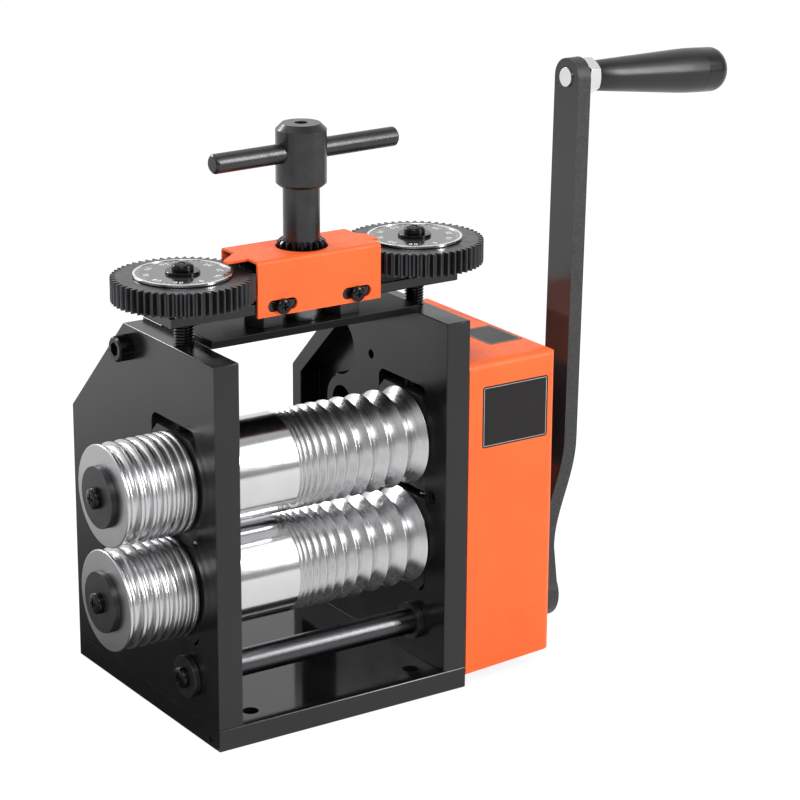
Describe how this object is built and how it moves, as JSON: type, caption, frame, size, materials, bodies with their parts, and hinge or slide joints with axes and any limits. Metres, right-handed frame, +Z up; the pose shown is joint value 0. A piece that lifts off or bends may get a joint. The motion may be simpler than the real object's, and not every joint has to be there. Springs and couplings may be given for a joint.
{
  "type": "jewellers rolling mill",
  "caption": "Hand-cranked jewellers rolling mill: flat, square-wire and half-round steel rolls, geared T-handle gap setting, black frame, orange gear cover.",
  "frame": {"origin": "centre of the underside of the base, on the face that rests on the bench", "axes": "+X along the rolls toward the crank, +Y from the front (crank shaft side) to the rear, +Z up out of the bench"},
  "size_m": [0.3789, 0.15, 0.3231],
  "materials": {
    "black_paint": "gloss black enamel",
    "orange_paint": "satin orange powder coat",
    "roll_steel": "ground and polished hardened steel",
    "black_oxide": "blackened steel, satin",
    "crank_black": "black coated forging with a fine grain",
    "grip_plastic": "black, polished",
    "zinc_plate": "bright zinc plate",
    "bush_bronze": "turned bronze",
    "dial_grey": "dark anodised with pale figures",
    "spring_steel": "plain spring steel"
  },
  "bodies": {
    "frame": {"base_plate": "black_paint", "left_side_plate": "black_paint", "right_side_plate": "black_paint", "base_screws": "black_oxide", "tie_bar": "black_paint", "tie_bar_screws": "black_oxide", "cross_plate": "black_paint", "cross_plate_screws": "black_oxide", "left_lower_block": "black_oxide", "right_lower_block": "black_oxide", "lower_bushes": "bush_bronze", "shaft_bushes": "black_oxide", "plate_set_screw": "black_oxide", "left_springs": "spring_steel", "right_springs": "spring_steel", "idler_posts": "black_oxide", "spindle_bush": "zinc_plate", "bridge_plate": "black_paint", "top_cover": "orange_paint", "top_cover_screws": "black_oxide", "gear_cover": "orange_paint", "cover_posts": "black_oxide", "gear_cover_screws": "black_oxide"},
    "crank": {"drive_shaft": "black_oxide", "drive_pinion": "black_oxide", "shaft_end_washer": "black_oxide", "shaft_end_screw": "black_oxide", "crank_arm": "crank_black", "crank_lock_screw": "black_oxide", "grip_spindle": "zinc_plate", "grip_nut": "zinc_plate"},
    "grip": {"crank_grip": "grip_plastic"},
    "lower_rolls": {"lower_roll": "roll_steel", "lower_side_roller": "roll_steel", "lower_end_washers": "black_oxide", "lower_end_screws": "black_oxide", "reduction_gear": "black_oxide", "lower_roll_gear": "black_oxide"},
    "carriage": {"left_upper_block": "black_oxide", "right_upper_block": "black_oxide", "upper_bushes": "bush_bronze"},
    "upper_rolls": {"upper_roll": "roll_steel", "upper_side_roller": "roll_steel", "upper_end_washers": "black_oxide", "upper_end_screws": "black_oxide", "upper_roll_gear": "black_oxide"},
    "left_screw": {"left_pressure_screw": "black_oxide", "left_dial_gear": "black_oxide", "left_dial_plate": "dial_grey", "left_dial_screw": "black_oxide"},
    "right_screw": {"right_pressure_screw": "black_oxide", "right_dial_gear": "black_oxide", "right_dial_plate": "dial_grey", "right_dial_screw": "black_oxide"},
    "handle": {"handle_spindle": "black_oxide", "spindle_clip": "spring_steel", "handle_bar": "black_oxide", "handle_lock_screw": "black_oxide"},
    "left_idler": {"left_idler_pinion": "black_oxide"},
    "right_idler": {"right_idler_pinion": "black_oxide"}
  },
  "joints": [
    {"name": "crank_spin", "type": "hinge", "parent": "frame", "child": "crank", "pos_m": [0, -0.047, 0.03198], "axis": [1, 0, 0], "continuous": true},
    {"name": "grip_spin", "type": "hinge", "parent": "crank", "child": "grip", "pos_m": [0.15754, -0.047, 0.31298], "axis": [0.9982, 0, -0.0593], "continuous": true},
    {"name": "lower_roll_spin", "type": "hinge", "parent": "frame", "child": "lower_rolls", "pos_m": [0, -0.034, 0.0765], "axis": [1, 0, 0], "continuous": true},
    {"name": "handle_spin", "type": "hinge", "parent": "frame", "child": "handle", "pos_m": [0, -0.034, 0.25], "axis": [0, 0, 1], "range_deg": [-2130, 1763]},
    {"name": "carriage_lift", "type": "slide", "parent": "frame", "child": "carriage", "axis": [0, 0, 1], "range_m": [-0.0029, 0.0024], "deforming": ["left_springs", "right_springs"]},
    {"name": "upper_roll_spin", "type": "hinge", "parent": "carriage", "child": "upper_rolls", "pos_m": [0, -0.034, 0.1315], "axis": [1, 0, 0], "continuous": true},
    {"name": "left_screw_spin", "type": "hinge", "parent": "carriage", "child": "left_screw", "pos_m": [-0.068, -0.034, 0.23], "axis": [0, 0, 1], "range_deg": [-697, 577]},
    {"name": "right_screw_spin", "type": "hinge", "parent": "carriage", "child": "right_screw", "pos_m": [0.068, -0.034, 0.23], "axis": [0, 0, 1], "range_deg": [-697, 577]},
    {"name": "left_idler_spin", "type": "hinge", "parent": "frame", "child": "left_idler", "pos_m": [-0.02246, -0.034, 0.23], "axis": [0, 0, 1], "range_deg": [-1763, 2130]},
    {"name": "right_idler_spin", "type": "hinge", "parent": "frame", "child": "right_idler", "pos_m": [0.02246, -0.034, 0.23], "axis": [0, 0, 1], "range_deg": [-1763, 2130]}
  ],
  "couplings": [
    {"joint": "lower_roll_spin", "follows": "crank_spin", "ratio": -0.39474},
    {"joint": "upper_roll_spin", "follows": "crank_spin", "ratio": 0.39474},
    {"joint": "handle_spin", "follows": "carriage_lift", "rad_per_m": 12799},
    {"joint": "left_screw_spin", "follows": "carriage_lift", "rad_per_m": 4188.8},
    {"joint": "right_screw_spin", "follows": "carriage_lift", "rad_per_m": 4188.8},
    {"joint": "left_idler_spin", "follows": "carriage_lift", "rad_per_m": -12799},
    {"joint": "right_idler_spin", "follows": "carriage_lift", "rad_per_m": -12799}
  ]
}
